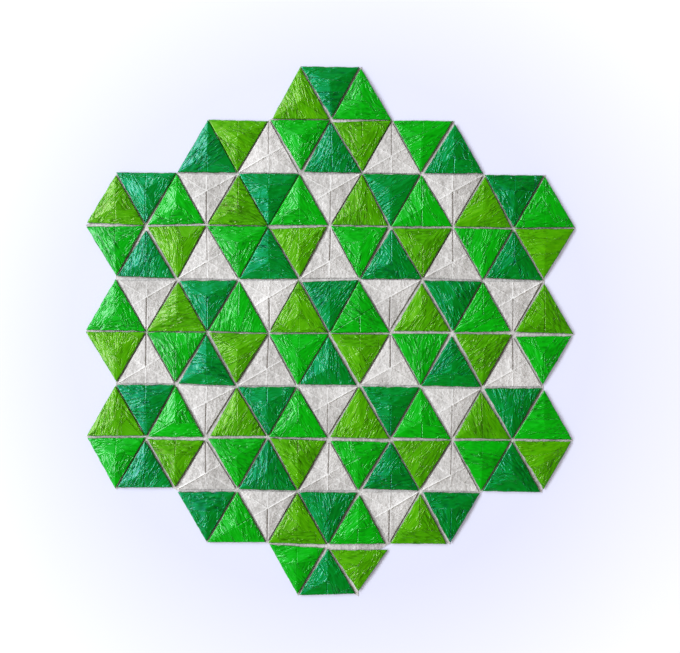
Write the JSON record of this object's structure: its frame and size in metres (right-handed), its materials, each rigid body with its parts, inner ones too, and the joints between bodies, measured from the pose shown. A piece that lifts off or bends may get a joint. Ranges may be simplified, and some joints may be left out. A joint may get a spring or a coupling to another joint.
{
  "type": "origami tessellation",
  "caption": "Folded paper tessellation: one sheet pleated into a hexagonal field of raised triangular tiles with narrow channels between them, part of the tiles painted in three greens",
  "frame": {"origin": "middle of the sheet, on the surface that it lies on", "axes": "+Z out of the painted front, +Y along the longer side, towards a straight end of the field, +X along the shorter side"},
  "size_m": [0.16, 0.1732, 0.002],
  "materials": {
    "bare_paper": "matte handmade paper, off-white, with fine fibres",
    "bright_green_paint": "glossy brushed acrylic paint on paper, bright green",
    "dark_green_paint": "glossy brushed acrylic paint on paper, dark green",
    "lime_green_paint": "glossy brushed acrylic paint on paper, lime green"
  },
  "bodies": {
    "root": {"folded_sheet": "bare_paper"}
  },
  "joints": []
}
